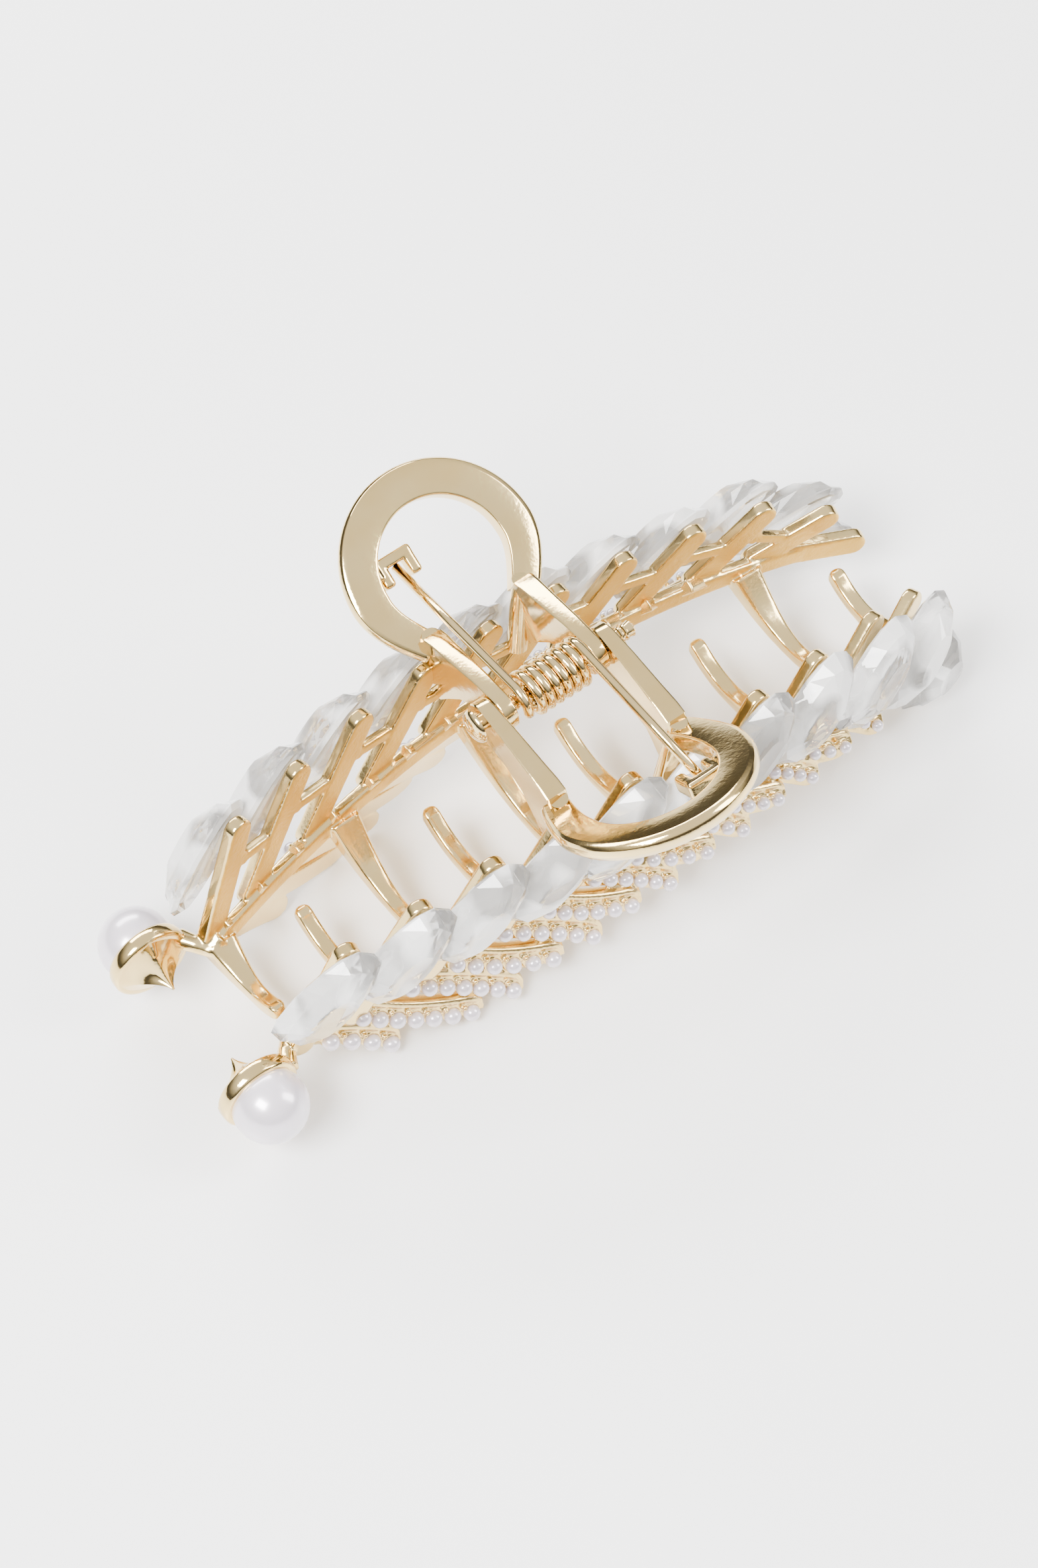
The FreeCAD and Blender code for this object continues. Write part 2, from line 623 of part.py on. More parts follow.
def make_spring():
    """Coil with the near jaw's leg; the coil's axis is the pin."""
    mean_r = (SPRING_D - WIRE_D) / 2
    height = COIL_PITCH * COIL_TURNS
    helix = Part.makeHelix(COIL_PITCH, height, mean_r)
    climb = COIL_PITCH / (2 * math.pi * mean_r)
    section = Part.Wire([Part.makeCircle(WIRE_D / 2, V(mean_r, 0, 0), V(0, 1, climb))])
    coil = Part.Wire(helix).makePipeShell([section], True, True)
    coil.rotate(V(0, 0, 0), V(0, 1, 0), 90)
    coil.translate(V(COIL_START_X, 0, 0))
    end_x = COIL_START_X + height
    start, hook, angle = leg_route(1, end_x)
    turned = math.degrees(2 * math.pi * COIL_TURNS)
    coil_end = coil_end_angle(turned)
    wanted = 180 - math.degrees(angle)
    coil.rotate(V(0, 0, 0), V(1, 0, 0), wanted - coil_end)
    start = V(start.x, -start.y, start.z)
    hook = V(hook.x, -hook.y, hook.z)
    leg = rod(start, hook, WIRE_D, WIRE_D)
    return coil.fuse([leg, Part.makeSphere(WIRE_D / 2 + KNUCKLE, start)])


def coil_end_angle(turned):
    """Angle of the coil's far end about +X, measured from +Y, after the coil has been laid along X."""
    end = FreeCAD.Rotation(V(0, 1, 0), 90).multVec(
        V(math.cos(math.radians(turned)), math.sin(math.radians(turned)), 0))
    return math.degrees(math.atan2(end.z, end.y))


# assembly ----------------------------------------------------------------------------------------------

def mirrored(shape):
    return shape.mirror(V(0, 0, 0), V(0, 1, 0))


def build():
    nodes = {}
    for name, side in (("near", -1), ("far", 1)):
        jaw = {name + "_claw_casting": make_casting(side),
               name + "_end_pearl": Part.makeSphere(END_PEARL_D / 2, V(*END_PEARL_AT))}
        for number in range(1, FINGERS + 1):
            jaw["%s_crystal_%02d" % (name, number)] = make_crystal(number)
        for number in range(1, LEAVES + 1):
            jaw["%s_pearl_row_%02d" % (name, number)] = Part.makeCompound(make_pearls(number))
        for node, shape in jaw.items():
            nodes[node] = mirrored(shape) if side < 0 else shape
    nodes["hinge_pin"] = make_pin()
    nodes["torsion_spring"] = make_spring()
    nodes["torsion_spring_far_leg"] = make_far_leg()
    return nodes


def main():
    nodes = build()
    everything = Part.makeCompound(list(nodes.values()))
    box = everything.optimalBoundingBox(False, False)
    shift = V(-(box.XMin + box.XMax) / 2, -(box.YMin + box.YMax) / 2, -box.ZMin)
    os.makedirs("parts", exist_ok=True)
    for node, shape in nodes.items():
        moved = shape.copy()
        moved.translate(shift)
        moved.exportStep("parts/%s.step" % node)
    print("size %.2f x %.2f x %.2f mm" % (box.XLength, box.YLength, box.ZLength))
    print("hinge axis at x %.4f y %.4f z %.4f mm" % (shift.x, shift.y, shift.z))
    print(len(nodes), "nodes")


main()
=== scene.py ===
"""Looks of a two-jaw hair claw clip: gold castings, hinge pin, torsion spring, crystals and pearls.

Shapes are worked out in millimetres about the hinge pin: x runs along the pin, w is the distance outwards
from the middle plane and z is up. settle() turns that into metres in the frame, with the near jaw mirrored
to -Y.
"""
import bmesh
import bpy
import json
import math
from mathutils import Matrix, Vector


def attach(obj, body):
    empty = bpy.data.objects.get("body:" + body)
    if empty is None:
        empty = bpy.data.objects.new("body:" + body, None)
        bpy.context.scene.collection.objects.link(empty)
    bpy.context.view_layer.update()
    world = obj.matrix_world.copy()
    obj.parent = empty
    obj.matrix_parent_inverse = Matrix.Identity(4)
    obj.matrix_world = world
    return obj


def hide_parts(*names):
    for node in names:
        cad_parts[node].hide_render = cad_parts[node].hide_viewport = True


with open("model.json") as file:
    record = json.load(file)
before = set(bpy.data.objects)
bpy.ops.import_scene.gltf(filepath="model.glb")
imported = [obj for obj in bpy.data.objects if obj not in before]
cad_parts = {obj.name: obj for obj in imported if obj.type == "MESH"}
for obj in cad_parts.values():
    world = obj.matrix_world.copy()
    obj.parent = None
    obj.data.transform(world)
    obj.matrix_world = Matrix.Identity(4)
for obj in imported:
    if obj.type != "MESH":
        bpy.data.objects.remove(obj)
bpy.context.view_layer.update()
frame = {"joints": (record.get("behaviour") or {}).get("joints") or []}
HINGE = Vector(frame["joints"][0]["pos_m"])
MM = 0.001

# camera
CAMERA_TARGET = Vector((-7.48, -5.11, -5.58)) * MM
CAMERA_DISTANCE = 0.46308
CAMERA_AZIMUTH = 34.08
CAMERA_ELEVATION = 56.48
CAMERA_ROLL = -3.31
CAMERA_LENS = 106.4

# jaw arc
SPINE_MID = Vector((4.0, 11.4, -16.3))
SPINE_HALF = 40.0
SPINE_DROP_W = 3.9
SPINE_DROP_Z = 4.9
SPINE_LEFT_X = -39.0
SPINE_RIGHT_X = 39.5

# settings and crystals
FINGERS = 11
FINGER_PITCH = 8.38
FINGER_FIRST_X = -31.3
FINGER_RUN = 9.1
FIRST_FINGER_RUN = 6.6
FINGER_WIDTH = 2.9
FINGER_THICK = 1.5
FINGER_FOOT = 0.8
LINK_START_SHARE = 0.62
LINK_END_SHARE = 0.50
RIGHT_FINGER_TIPS = ((42.8, 5.9, -14.1), (46.3, 5.3, -21.4))
LAST_FINGER_BASE_X = 35.5
TIP_W = 11.05
TIP_Z = -4.8
CRYSTAL_WIDTH = 6.1
CRYSTAL_HEIGHT = 3.5
CRYSTAL_FULLNESS = 0.62
CRYSTAL_TILT = 10.0
CRYSTAL_SEAT_GAP = 0.04
COMMON_CRYSTAL = (14.0, 39.0, 0.2, 0.0, 1.9)
END_CRYSTALS = {9: (14.0, 38.0, 0.2, 0.75, 1.9), 10: (14.0, 30.0, 0.2, 0.75, 1.9),
                11: (11.0, -6.0, 2.4, 0.9, 0.0)}

# pearl leaves
LEAVES = 13
LEAF_PITCH = 5.1
LEAF_FIRST_X = -36.8
LEAF_STEP = Vector((11.9, 3.4, -7.0))
ODD_LEAF_STEP = Vector((11.9, 3.4, -7.9))
LEAF_SHRINK = 0.03
FIRST_LEAF_SHARE = 0.70
LEAF_THICK = 1.1
LEAF_LOW_EDGE = 1.15
LEAF_HIGH_EDGE = 2.05
LEAF_ROUND_START = 0.93
LEAF_ROUND_REACH = 0.172
LEAF_SAG = 0.75
LEAF_ARCH = 0.35
FIRST_ROW_START = 2.7
PEARL_START = (0.9, 4.4)
PEARL_D = (1.85, 1.3)
PEARL_GAP = (0.38, 0.1)
PEARL_SEAT = 0.6
SEAT_RING_R = 0.98
SEAT_RING_WIRE = 0.30
DIVIDER_R = 0.30

# teeth
TEETH = 5
TOOTH_PITCH = 17.4
TOOTH_WIDTH = 2.1
TOOTH_ROOT_SCALE = 1.7
FAR_TOOTH_X = -37.2
NEAR_TOOTH_X = FAR_TOOTH_X + TOOTH_PITCH / 2
TOOTH_TIP_SCALE = 0.86
TOOTH_TAPER_END = 0.62
TOOTH_REACH = 6.6
TOOTH_REACH_LOSS = 3.2
TOOTH_TIP_Z = -21.4
TOOTH_LOW_Z = -23.2

# lugs, loops and hooks
LUG_THICK = 1.6
LUG_END_THICK = 2.3
FAR_LUG_X = 5.68
NEAR_LUG_X = 7.43
EAR_R = 2.2
LUG_TOP = 0.9
LUG_END_W = 11.4
STRUT_FOOT_Z = -10.2
LOOP_TILT = 31.0
LOOP_THICK = 2.3
LOOP_R = 11.0
LOOP_BAND = 4.0
LOOP_RISE = 6.7
HOOK_X = 4.3
HOOK_B = 9.2
HOOK_BAR = 1.3
HOOK_SLOT = 1.95
HOOK_REACH = 3.2
HOOK_DEPTH = 1.9

# pin and spring
PIN_R = 0.925
PIN_HEAD_R = 1.85
PIN_HEAD_H = 0.9
PIN_HEAD_X = -8.75
PIN_HEAD_POLE = 0.02
PIN_END_X = 10.8
THREAD_PITCH = 0.55
THREAD_DEPTH = 0.17
THREAD_START_X = -4.7
WIRE_R = 0.525
COIL_R = 2.175
COIL_PITCH = 1.1
COIL_TURNS = 6.25
COIL_START_X = -2.6
FAR_LEG_X = -3.77

# end pearl
END_PEARL_R = 4.0
END_PEARL = Vector((-44.15, 11.9, -21.3))
CUP_R = 4.4
CUP_W = 9.7
CUP_HALF_THICK = 0.9

# how finely the castings are melted together
SETTINGS_VOXEL = 0.16
LEAVES_VOXEL = 0.15
HOOK_VOXEL = 0.09

# finishes
POLISHED_ROUGHNESS = 0.10
RIM_ROUGHNESS = 0.14
SATIN_ROUGHNESS = 0.24
WIRE_ROUGHNESS = 0.07
GRAIN_ROUGHNESS = 0.42


# mesh tools --------------------------------------------------------------------------------------------

def place_ring(piece, last, ring):
    """Moves the selected ring of points, which lies on last, to its new place."""
    mesh = bmesh.from_edit_mesh(piece.data)
    for vertex in mesh.verts:
        if vertex.select:
            nearest = min(range(len(last)), key=lambda i: (last[i] - vertex.co).length_squared)
            vertex.co = ring[nearest]
    bmesh.update_edit_mesh(piece.data)


def skin(name, rings):
    """Closed solid through rings of points: a filled ring is extruded from one to the next."""
    bpy.ops.object.select_all(action="DESELECT")
    bpy.ops.mesh.primitive_circle_add(vertices=len(rings[0]), radius=1.0, fill_type="NGON")
    piece = bpy.context.object
    piece.name = name
    last = [v.co.copy() for v in piece.data.vertices]
    bpy.ops.object.mode_set(mode="EDIT")
    bpy.ops.mesh.select_all(action="SELECT")
    place_ring(piece, last, rings[0])
    last = rings[0]
    for ring in rings[1:]:
        bpy.ops.mesh.extrude_region_move()
        place_ring(piece, last, ring)
        last = ring
    bpy.ops.mesh.select_all(action="SELECT")
    bpy.ops.mesh.normals_make_consistent(inside=False)
    bpy.ops.object.mode_set(mode="OBJECT")
    return piece


def ball(name, centre, radius, segments=20, rings=12):
    bpy.ops.object.select_all(action="DESELECT")
    bpy.ops.mesh.primitive_uv_sphere_add(segments=segments, ring_count=rings, radius=radius)
    piece = bpy.context.object
    piece.name = name
    piece.data.transform(Matrix.Translation(centre))
    return piece


def copy_of(master, matrix):
    """Copy of a finished shape with a mesh of its own, moved by a matrix."""
    bpy.ops.object.select_all(action="DESELECT")
    master.select_set(True)
    bpy.context.view_layer.objects.active = master
    bpy.ops.object.duplicate(linked=False)
    piece = bpy.context.object
    piece.data.transform(matrix)
    return piece


def discard(master):
    """Removes a shape that was only made to be copied."""
    bpy.ops.object.select_all(action="DESELECT")
    master.select_set(True)
    bpy.ops.object.delete()


def join(name, pieces):
    bpy.ops.object.select_all(action="DESELECT")
    for piece in pieces:
        piece.select_set(True)
    bpy.context.view_layer.objects.active = pieces[0]
    if len(pieces) > 1:
        bpy.ops.object.join()
    pieces[0].name = name
    return pieces[0]


def apply_modifier(piece, kind, **values):
    bpy.ops.object.select_all(action="DESELECT")
    piece.select_set(True)
    bpy.context.view_layer.objects.active = piece
    modifier = piece.modifiers.new(kind.title(), kind)
    for key, value in values.items():
        setattr(modifier, key, value)
    bpy.ops.object.modifier_apply(modifier=modifier.name)


def cast(piece, voxel, smoothing):
    """Melts overlapping solids into one casting with soft corners and fillets."""
    apply_modifier(piece, "REMESH", mode="VOXEL", voxel_size=voxel, use_smooth_shade=True)
    apply_modifier(piece, "SMOOTH", factor=0.5, iterations=smoothing)


def soften(piece, width, segments=3, angle=35.0):
    apply_modifier(piece, "BEVEL", width=width, segments=segments, limit_method="ANGLE",
                   angle_limit=math.radians(angle), use_clamp_overlap=True)


def shade(piece, angle=None):
    bpy.ops.object.select_all(action="DESELECT")
    piece.select_set(True)
    bpy.context.view_layer.objects.active = piece
    if angle is None:
        bpy.ops.object.shade_smooth()
    else:
        bpy.ops.object.shade_smooth_by_angle(angle=math.radians(angle))


def settle(piece, side, body, finish):
    """Places a finished piece in the frame, mirrored for the near jaw, and says what it rides on."""
    mirror = Matrix.Diagonal((1, side, 1, 1))
    piece.data.transform(Matrix.Translation(HINGE) @ Matrix.Scale(MM, 4) @ mirror)
    if side < 0:
        bpy.ops.object.select_all(action="DESELECT")
        piece.select_set(True)
        bpy.context.view_layer.objects.active = piece
        bpy.ops.object.mode_set(mode="EDIT")
        bpy.ops.mesh.select_all(action="SELECT")
        bpy.ops.mesh.flip_normals()
        bpy.ops.object.mode_set(mode="OBJECT")
    piece.data.materials.clear()
    piece.data.materials.append(finish)
    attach(piece, body)
    return piece


def local_frame(origin, along, outward):
    """Matrix with x along, z as near outward as that allows, and its origin there."""
    x_axis = along.normalized()
    z_axis = (outward - x_axis * outward.dot(x_axis)).normalized()
    y_axis = z_axis.cross(x_axis)
    matrix = Matrix((x_axis, y_axis, z_axis)).transposed().to_4x4()
    matrix.translation = origin
    return matrix


def rounded_box(width, height, corner, steps=3):
    """Outline of a rectangle with round corners, counterclockwise, centred on zero."""
    points = []
    for quarter in range(4):
        middle_x = (width / 2 - corner) * (1 if quarter in (0, 3) else -1)
        middle_y = (height / 2 - corner) * (1 if quarter in (0, 1) else -1)
        for step in range(steps + 1):
            angle = math.pi / 2 * (quarter + step / steps)
            points.append((middle_x + corner * math.cos(angle), middle_y + corner * math.sin(angle)))
    return points


def ring_at(matrix, outline, scale=1.0):
    """Outline in the y and z of a matrix, as points."""
    return [matrix @ Vector((0, u * scale, v * scale)) for u, v in outline]


def circle(radius, sides):
    angles = [2 * math.pi * step / sides for step in range(sides)]
    return [(radius * math.cos(a), radius * math.sin(a)) for a in angles]


def tube(name, points, radius, sides=16):
    """Round bar along points; radius is a number or one number for each point."""
    radii = radius if isinstance(radius, list) else [radius] * len(points)
    rings = []
    up = Vector((0.31, 0.13, 0.94))
    for number, point in enumerate(points):
        before = points[max(number - 1, 0)]
        after = points[min(number + 1, len(points) - 1)]
        matrix = local_frame(point, after - before, up)
        up = matrix.to_3x3() @ Vector((0, 0, 1))
        rings.append(ring_at(matrix, circle(radii[number], sides)))
    return skin(name, rings)


def block(name, low, high, corner=0.15, placed=None):
    """Box with softened edges between two corners, moved by a matrix if one is given."""
    bpy.ops.object.select_all(action="DESELECT")
    middle = (Vector(low) + Vector(high)) / 2
    size = Vector(high) - Vector(low)
    bpy.ops.mesh.primitive_cube_add(size=1.0)
    piece = bpy.context.object
    piece.name = name
    piece.data.transform(Matrix.Translation(middle) @ Matrix.Diagonal((size.x, size.y, size.z, 1)))
    soften(piece, corner)
    if placed is not None:
        piece.data.transform(placed)
    return piece


def stadium_stack(name, length, width, levels, start=0.0):
    """Bar with round ends lying along x; levels are (height, shrink) from its lowest face up."""
    rings = []
    for height, shrink in levels:
        half = width / 2 - shrink
        ring = []
        for middle, turn in ((start + length - width / 2, -math.pi / 2), (start + width / 2, math.pi / 2)):
            for step in range(25):
                angle = turn + math.pi * step / 24
                ring.append(Vector((middle + half * math.cos(angle), half * math.sin(angle), height)))
        rings.append(ring)
    return skin(name, rings)


# jaw layout --------------------------------------------------------------------------------------------

def spine_share(x):
    return ((x - SPINE_MID.x) / SPINE_HALF) ** 2


def spine_point(x):
    share = spine_share(x)
    return Vector((x, SPINE_MID.y - SPINE_DROP_W * share, SPINE_MID.z - SPINE_DROP_Z * share))


def outward_at(x):
    slope = -2 * SPINE_DROP_W * (x - SPINE_MID.x) / SPINE_HALF ** 2
    return Vector((-slope, 1, 0)).normalized()


def finger_tip(number):
    if number > FINGERS - len(RIGHT_FINGER_TIPS):
        return Vector(RIGHT_FINGER_TIPS[number - FINGERS - 1])
    x = FINGER_FIRST_X + FINGER_PITCH * (number - 1)
    return Vector((x, TIP_W - 5.89 * (x / 50) ** 2, TIP_Z - 1.33 * (x / 50) - 7.4 * (x / 50) ** 2))


def finger_base(number):
    if number == FINGERS:
        return spine_point(LAST_FINGER_BASE_X)
    run = FIRST_FINGER_RUN if number == 1 else FINGER_RUN
    return spine_point(finger_tip(number).x - run)


def finger_frame(number):
    base = finger_base(number)
    tip = finger_tip(number)
    return local_frame(base, tip - base, outward_at((base.x + tip.x) / 2))


def finger_length(number):
    return (finger_tip(number) - finger_base(number)).length


def crystal_frame(number):
    """Frame at the middle of a crystal's back."""
    tip = finger_tip(number)
    length, degrees, below, lift, ahead = END_CRYSTALS.get(number, COMMON_CRYSTAL)
    slope = math.radians(degrees)
    along = Vector((math.cos(slope), 0, math.sin(slope)))
    middle = Vector((tip.x + ahead, tip.y, tip.z - below)) - along * (length / 2)
    finger = finger_frame(number)
    normal = finger.to_3x3() @ Vector((0, 0, 1))
    middle.y -= (middle - finger.translation).dot(normal) / normal.y
    middle += normal * (FINGER_THICK + CRYSTAL_SEAT_GAP + lift)
    return local_frame(middle, along - normal * along.dot(normal), normal)


def leaf_start(number):
    point = spine_point(LEAF_FIRST_X + LEAF_PITCH * (number - 1))
    return Vector((point.x, point.y - 0.5, point.z))


def leaf_reach(number):
    return FIRST_LEAF_SHARE if number == 1 else 1 - LEAF_SHRINK * (number - 2)


def leaf_step(number):
    return LEAF_STEP if number % 2 == 0 else ODD_LEAF_STEP


def leaf_length(number):
    return leaf_step(number).length * leaf_reach(number)


def leaf_frame(number):
    start = leaf_start(number)
    tangent = spine_point(start.x + 1) - spine_point(start.x - 1)
    return local_frame(start, leaf_step(number), tangent.cross(leaf_step(number)))


def leaf_bow(number):
    return LEAF_SAG if number % 2 == 0 else -LEAF_ARCH


def graded(ends, number):
    """Value for one leaf of a size that changes evenly from the first leaf to the last."""
    return ends[0] + (ends[1] - ends[0]) * (number - 1) / (LEAVES - 1)


def pearl_radius(number):
    return graded(PEARL_D, number) / 2


def pearl_places(number):
    """Centres of a row's pearls in the leaf's own frame."""
    length = leaf_length(number)
    radius = pearl_radius(number)
    first = FIRST_ROW_START if number == 1 else graded(PEARL_START, number)
    count = max(int((length - first) / (2 * radius + graded(PEARL_GAP, number))) + 1, 2)
    places = []
    for step in range(count):
        share = (first + (length - first) * step / (count - 1)) / length
        across = leaf_bow(number) * 4 * share * (1 - share)
        places.append(Vector((length * share, across, LEAF_THICK + radius * PEARL_SEAT)))
    return places


# jaw pieces --------------------------------------------------------------------------------------------

def make_settings(side):
    """Fingers, cross links, spine, teeth and the end cup's neck, cast in one."""
    parts = []
    edge = [(0.0, 0.30), (0.08, 0.12), (0.22, 0.0), (1.28, 0.0), (1.42, 0.1), (FINGER_THICK, 0.28)]
    for number in range(1, FINGERS + 1):
        bar = stadium_stack("finger", finger_length(number) + FINGER_FOOT, FINGER_WIDTH, edge, -FINGER_FOOT)
        bar.data.transform(finger_frame(number))
        parts.append(bar)
    head = block("link_head", (1.2, -1.25, 0.1), (2.2, 0.9, 1.25), 0.35)
    for number in range(1, FINGERS - 1):
        start = finger_frame(number) @ Vector((finger_length(number) * LINK_START_SHARE, 0, 0))
        end = finger_frame(number + 1) @ Vector((finger_length(number + 1) * LINK_END_SHARE, 0, 0))
        link = local_frame(start, end - start, outward_at((start.x + end.x) / 2))
        reach = (end - start).length
        parts.append(block("link", (0, -0.65, 0.12), (reach, 0.65, 1.2), 0.3, link))
        parts.append(copy_of(head, link))
    discard(head)
    spine_profile = rounded_box(2.4, 1.5, 0.45)
    rings = []
    for step in range(41):
        x = SPINE_LEFT_X + (SPINE_RIGHT_X - SPINE_LEFT_X) * step / 40
        tangent = spine_point(x + 0.5) - spine_point(x - 0.5)
        rings.append(ring_at(local_frame(spine_point(x), tangent, outward_at(x)), spine_profile))
    parts.append(skin("spine", rings))
    first = FAR_TOOTH_X if side > 0 else NEAR_TOOTH_X
    for number in range(TEETH):
        parts.append(make_tooth(first + TOOTH_PITCH * number))
    neck_start = Vector((END_PEARL.x + CUP_R - 0.7, CUP_W, END_PEARL.z + 0.3))
    neck_end = spine_point(SPINE_LEFT_X + 0.6) + Vector((0, 0, 0.2))
    middle = (neck_start + neck_end) / 2 + Vector((0, -0.3, 0.25))
    parts.append(tube("neck", [neck_start, middle, neck_end, neck_end + Vector((1.5, 0.1, 0.8))],
                      [1.15, 0.95, 1.15, 1.2]))
    return join("settings", parts)


def make_tooth(x):
    """Tooth with a thick root, a flat top with soft corners and a rounded tip."""
    spine = spine_point(x)
    root = Vector((x, spine.y - 0.3, spine.z - 0.4))
    tip = Vector((x, -TOOTH_REACH + TOOTH_REACH_LOSS * spine_share(x), TOOTH_TIP_Z))
    low = Vector((x, (tip.y + root.y) / 2 - 0.5, TOOTH_LOW_Z))
    profile = rounded_box(TOOTH_WIDTH, TOOTH_WIDTH * 0.92, 0.42)

    def along(t):
        return root * ((1 - t) * (1 - 2 * t)) + low * (4 * t * (1 - t)) + tip * (t * (2 * t - 1))

    rings = []
    steps = 30
    for step in range(steps + 1):
        t = step / steps
        point = along(t)
        swell = max(0.0, 1 - t / TOOTH_TAPER_END) ** 1.6
        scale = TOOTH_TIP_SCALE + (TOOTH_ROOT_SCALE - TOOTH_TIP_SCALE) * swell
        rings.append(ring_at(local_frame(point, along(t + 0.01) - point, Vector((0, 0, 1))), profile, scale))
    end = local_frame(tip, tip - low, Vector((0, 0, 1)))
    for angle in (20, 40, 60, 75, 86):
        out = Matrix.Translation(Vector((TOOTH_WIDTH * 0.42 * math.sin(math.radians(angle)), 0, 0)))
        rings.append(ring_at(end @ out, profile, TOOTH_TIP_SCALE * math.cos(math.radians(angle))))
    return skin("tooth", rings)


def make_leaves():
    """Pearl leaves: bowed plates with a raised lip, a seat ring for each pearl and small dividers."""
    parts = []
    seat = make_seat_ring()
    divider = ball("divider", Vector((0, 0, 0)), DIVIDER_R, 10, 6)
    for number in range(1, LEAVES + 1):
        leaf = leaf_frame(number)
        length = leaf_length(number)
        bow = leaf_bow(number)
        rings = []
        for step in range(29):
            share = -0.02 + 1.12 * step / 28
            middle = bow * 4 * share * (1 - share) if share < 1 else bow * 4 * (1 - share)
            end_round = 1.0
            if share > LEAF_ROUND_START:
                past = (share - LEAF_ROUND_START) / LEAF_ROUND_REACH
                end_round = math.sqrt(max(0.02, 1 - past ** 2))
            low = middle + LEAF_LOW_EDGE * end_round
            high = middle - LEAF_HIGH_EDGE * end_round
            outline = [(high, 0.0), (low, 0.0), (low + 0.1, 0.45), (low, 0.95), (middle + 0.2, 1.05),
                       (middle - 0.85 * end_round, 1.12), (high * 0.5 + middle * 0.5 - 0.3, 1.36),
                       (high + 0.4, 1.52), (high, 1.3), (high - 0.12, 0.6)]
            ring = [leaf @ Vector((length * share, across, up)) for across, up in outline]
            rings.append(ring)
        parts.append(skin("leaf", rings))
        radius = pearl_radius(number)
        places = pearl_places(number)
        for place in places:
            spot = Matrix.Translation(Vector((place.x, place.y - 0.12, LEAF_THICK + 0.12)))
            parts.append(copy_of(seat, leaf @ spot @ Matrix.Scale(radius, 4)))
        for first, second in zip(places, places[1:]):
            middle = (first + second) / 2
            prong = Vector((middle.x, middle.y - radius * 0.92, LEAF_THICK + 0.55))
            parts.append(copy_of(divider, leaf @ Matrix.Translation(prong)))
    discard(seat)
    discard(divider)
    return join("leaves", parts)


def make_seat_ring():
    """Rolled seat for a pearl of unit radius."""
    bpy.ops.object.select_all(action="DESELECT")
    bpy.ops.mesh.primitive_torus_add(major_segments=20, minor_segments=8, major_radius=SEAT_RING_R,
                                     minor_radius=SEAT_RING_WIRE)
    return bpy.context.object


def make_cup():
    """End-pearl cup: a rolled ring and a four-sided hollow-flanked point behind it."""
    centre = Vector((END_PEARL.x, CUP_W, END_PEARL.z))
    rings = []
    thick = CUP_HALF_THICK
    for w, radius in ((-thick, 3.4), (-thick, 4.0), (-thick + 0.12, 4.25), (-thick + 0.35, 4.4), (0.0, 4.42),
                      (thick - 0.35, 4.36), (thick - 0.1, 4.22), (thick, 4.0), (thick, 3.7), (0.3, 3.4)):
        matrix = local_frame(centre + Vector((0, w, 0)), Vector((0, 1, 0)), Vector((0, 0, 1)))
        rings.append(ring_at(matrix, circle(radius, 40)))
    ring = skin("cup_ring", rings)
    sides = 32
    rings = []
    for step in range(13):
        share = step / 12
        depth = 0.1 + 3.9 * share
        half = 4.25 * (1 - share) ** 1.55 + 0.12
        squareness = min(1.0, 0.25 + share * 1.6)
        outline = []
        for point in range(sides):
            angle = 2 * math.pi * point / sides
            diamond = 1 / (abs(math.cos(angle)) + abs(math.sin(angle)))
            hollow = 1 - 0.22 * squareness * math.sin(2 * angle) ** 2
            radius = half * ((1 - squareness) + squareness * diamond * hollow)
            outline.append((radius * math.cos(angle), radius * math.sin(angle)))
        matrix = local_frame(centre + Vector((0, -0.6 - depth, 0)), Vector((0, -1, 0)), Vector((0, 0, 1)))
        rings.append(ring_at(matrix, outline))
    point = skin("cup_point", rings)
    return join("cup", [ring, point])


def loop_matrix():
    tilt = math.radians(LOOP_TILT)
    up_loop = Vector((0, math.cos(tilt), math.sin(tilt)))
    x_axis = Vector((-1, 0, 0))
    matrix = Matrix((x_axis, up_loop, x_axis.cross(up_loop))).transposed().to_4x4()
    matrix.translation = Vector((0, LUG_END_W - 0.3, LUG_TOP - LOOP_THICK))
    return matrix


def make_loop(side):
    """Thumb loop: a flat band swept round a D, with a wide bevel on its outer edge."""
    lug_x = FAR_LUG_X if side > 0 else NEAR_LUG_X
    middle_r = LOOP_R - LOOP_BAND / 2
    foot = lug_x + 0.2
    path = []
    for step in range(13):
        t = step / 12
        bulge = math.sin(t * math.pi / 2)
        path.append((foot + (middle_r - foot) * bulge, LOOP_RISE * t))
    for step in range(1, 64):
        angle = math.pi * step / 64
        path.append((middle_r * math.cos(angle), LOOP_RISE + middle_r * math.sin(angle)))
    path += [(-x, y) for x, y in reversed(path[:13])]
    half = LOOP_BAND / 2
    top = LOOP_THICK
    outline = [(-half + 0.25, 0.0), (half - 0.7, 0.0), (half - 0.25, 0.18), (half - 0.02, 0.6), (half, 1.05),
               (half - 0.1, 1.45), (half - 0.75, top - 0.1), (half - 0.95, top), (-half + 0.3, top),
               (-half + 0.1, top - 0.08), (-half, top - 0.28), (-half, 0.25), (-half + 0.08, 0.07)]
    rings = []
    for number, (x, y) in enumerate(path):
        before = Vector(path[max(number - 1, 0)])
        after = Vector(path[min(number + 1, len(path) - 1)])
        along = (after - before).normalized()
        outer = Vector((along.y, -along.x))
        narrow = 0.78 + 0.22 * min(1.0, y / LOOP_RISE)
        rings.append([loop_matrix() @ Vector((x + outer.x * u * narrow, y + outer.y * u * narrow, v))
                      for u, v in outline])
    loop = skin("loop", rings)
    soften(loop, 0.1, 2, 20)
    return loop


